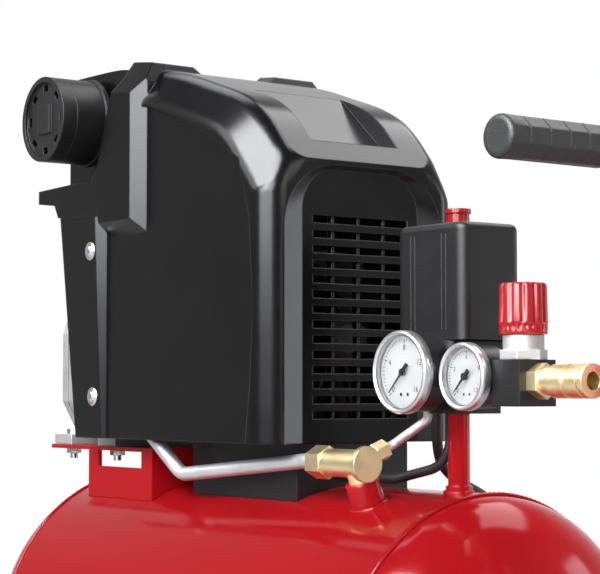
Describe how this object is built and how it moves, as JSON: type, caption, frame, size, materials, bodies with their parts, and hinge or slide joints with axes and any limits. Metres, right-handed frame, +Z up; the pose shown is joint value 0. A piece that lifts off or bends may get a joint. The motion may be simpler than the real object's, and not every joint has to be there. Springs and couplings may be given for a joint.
{
  "type": "portable air compressor",
  "caption": "Portable oil-lubricated air compressor: piston pump and motor under a moulded hood on a horizontal tank with wheels, handle, pressure switch, gauges, regulator and coupler.",
  "frame": {"origin": "middle of the object's outline on the floor, without the free mains cord", "axes": "+X along the tank towards the handle, -Y towards the side with the gauges, +Z up"},
  "size_m": [0.6055, 0.3713, 0.621],
  "materials": {
    "red_paint": "gloss",
    "red_plastic": "gloss",
    "hood_black": "gloss",
    "black_plastic": "satin",
    "cast_aluminium": "satin",
    "tube_aluminium": "satin",
    "iron": "satin",
    "steel": "brushed",
    "black_paint": "satin",
    "gasket": "matte",
    "brass": "satin",
    "chrome": "polished",
    "dial_white": "satin",
    "needle_black": "satin",
    "lens": "polished",
    "black_rubber": "matte",
    "tyre": "matte"
  },
  "bodies": {
    "frame": {"axle": "steel", "check_valve": "brass", "coupler_body": "brass", "crankcase": "cast_aluminium", "crankcase_cover": "cast_aluminium", "crankcase_gasket": "gasket", "cylinder": "iron", "cylinder_head": "cast_aluminium", "delivery_tube": "tube_aluminium", "drain_valve": "brass", "filter_body": "black_plastic", "filter_cap": "black_plastic", "foot_pad": "black_rubber", "gauge_bezels": "chrome", "gauge_cases": "black_plastic", "gauge_dials": "dial_white", "gauge_lenses": "lens", "handle_grips": "black_rubber", "handle_tube": "red_paint", "hood": "hood_black", "hood_screws": "steel", "mains_coil": "black_rubber", "mains_cord": "black_rubber", "mains_plug": "black_rubber", "motor_cradle": "black_plastic", "motor_end_bell": "black_paint", "motor_lead": "black_rubber", "pump_bolts": "steel", "pump_bracket": "red_paint", "regulator_block": "black_plastic", "regulator_bonnet": "cast_aluminium", "safety_valve": "brass", "stator": "black_paint", "switch_base": "black_plastic", "switch_cover": "black_plastic", "switch_post": "red_paint", "tank_brackets": "red_paint", "tank_ends": "red_paint", "tank_shell": "red_paint", "unloader_tube": "tube_aluminium", "valve_boss": "red_paint", "valve_fittings": "brass", "valve_plate": "cast_aluminium"},
    "crank_group": {"crankshaft": "iron", "rotor": "iron", "cooling_fan": "black_plastic"},
    "piston_group": {"piston": "cast_aluminium", "connecting_rod": "cast_aluminium"},
    "front_wheel": {"wheel_front": "black_plastic", "tyre_front": "tyre"},
    "rear_wheel": {"wheel_rear": "black_plastic", "tyre_rear": "tyre"},
    "pull_button": {"switch_button": "red_plastic"},
    "pressure_knob": {"regulator_knob": "red_plastic"},
    "tank_pointer": {"tank_needle": "needle_black"},
    "outlet_pointer": {"outlet_needle": "needle_black"},
    "release_sleeve": {"coupler_sleeve": "brass"},
    "safety_pull": {"safety_ring": "chrome"},
    "drain_knob": {"drain_screw": "brass"},
    "filler_plug": {"oil_plug": "black_plastic"}
  },
  "joints": [
    {"name": "crank_spin", "type": "hinge", "parent": "frame", "child": "crank_group", "pos_m": [-0.1, 0, 0.411], "axis": [1, 0, 0], "continuous": true},
    {"name": "piston_stroke", "type": "slide", "parent": "frame", "child": "piston_group", "axis": [0, 0, 1], "range_m": [0, 0.04]},
    {"name": "front_wheel_spin", "type": "hinge", "parent": "frame", "child": "front_wheel", "pos_m": [-0.19, -0.116, 0.055], "axis": [0, 1, 0], "continuous": true},
    {"name": "rear_wheel_spin", "type": "hinge", "parent": "frame", "child": "rear_wheel", "pos_m": [-0.19, 0.116, 0.055], "axis": [0, 1, 0], "continuous": true},
    {"name": "button_push", "type": "slide", "parent": "frame", "child": "pull_button", "axis": [0, 0, 1], "range_m": [-0.006, 0]},
    {"name": "pressure_turn", "type": "hinge", "parent": "frame", "child": "pressure_knob", "pos_m": [0.215, -0.014, 0.42], "axis": [0, 0, 1], "range_deg": [-1080, 0]},
    {"name": "tank_needle_turn", "type": "hinge", "parent": "frame", "child": "tank_pointer", "pos_m": [0.137, -0.044, 0.387], "axis": [0, 1, 0], "range_deg": [0, 270], "stiffness_Nm_per_rad": 0.0004, "springref_deg": -17.19},
    {"name": "outlet_needle_turn", "type": "hinge", "parent": "frame", "child": "outlet_pointer", "pos_m": [0.183, -0.033, 0.384], "axis": [0, 1, 0], "range_deg": [0, 270], "stiffness_Nm_per_rad": 0.0004, "springref_deg": -17.19},
    {"name": "sleeve_release", "type": "slide", "parent": "frame", "child": "release_sleeve", "axis": [-1, 0, 0], "range_m": [0, 0.005], "stiffness_N_per_m": 600},
    {"name": "safety_pull_out", "type": "slide", "parent": "frame", "child": "safety_pull", "axis": [0, 1, 0], "range_m": [0, 0.004], "stiffness_N_per_m": 500},
    {"name": "drain_turn", "type": "hinge", "parent": "frame", "child": "drain_knob", "pos_m": [-0.01, 0, 0.04], "axis": [0, 0, 1], "range_deg": [0, 720]},
    {"name": "filler_plug_pull", "type": "slide", "parent": "frame", "child": "filler_plug", "axis": [-1, 0, 0], "range_m": [0, 0.025]}
  ]
}
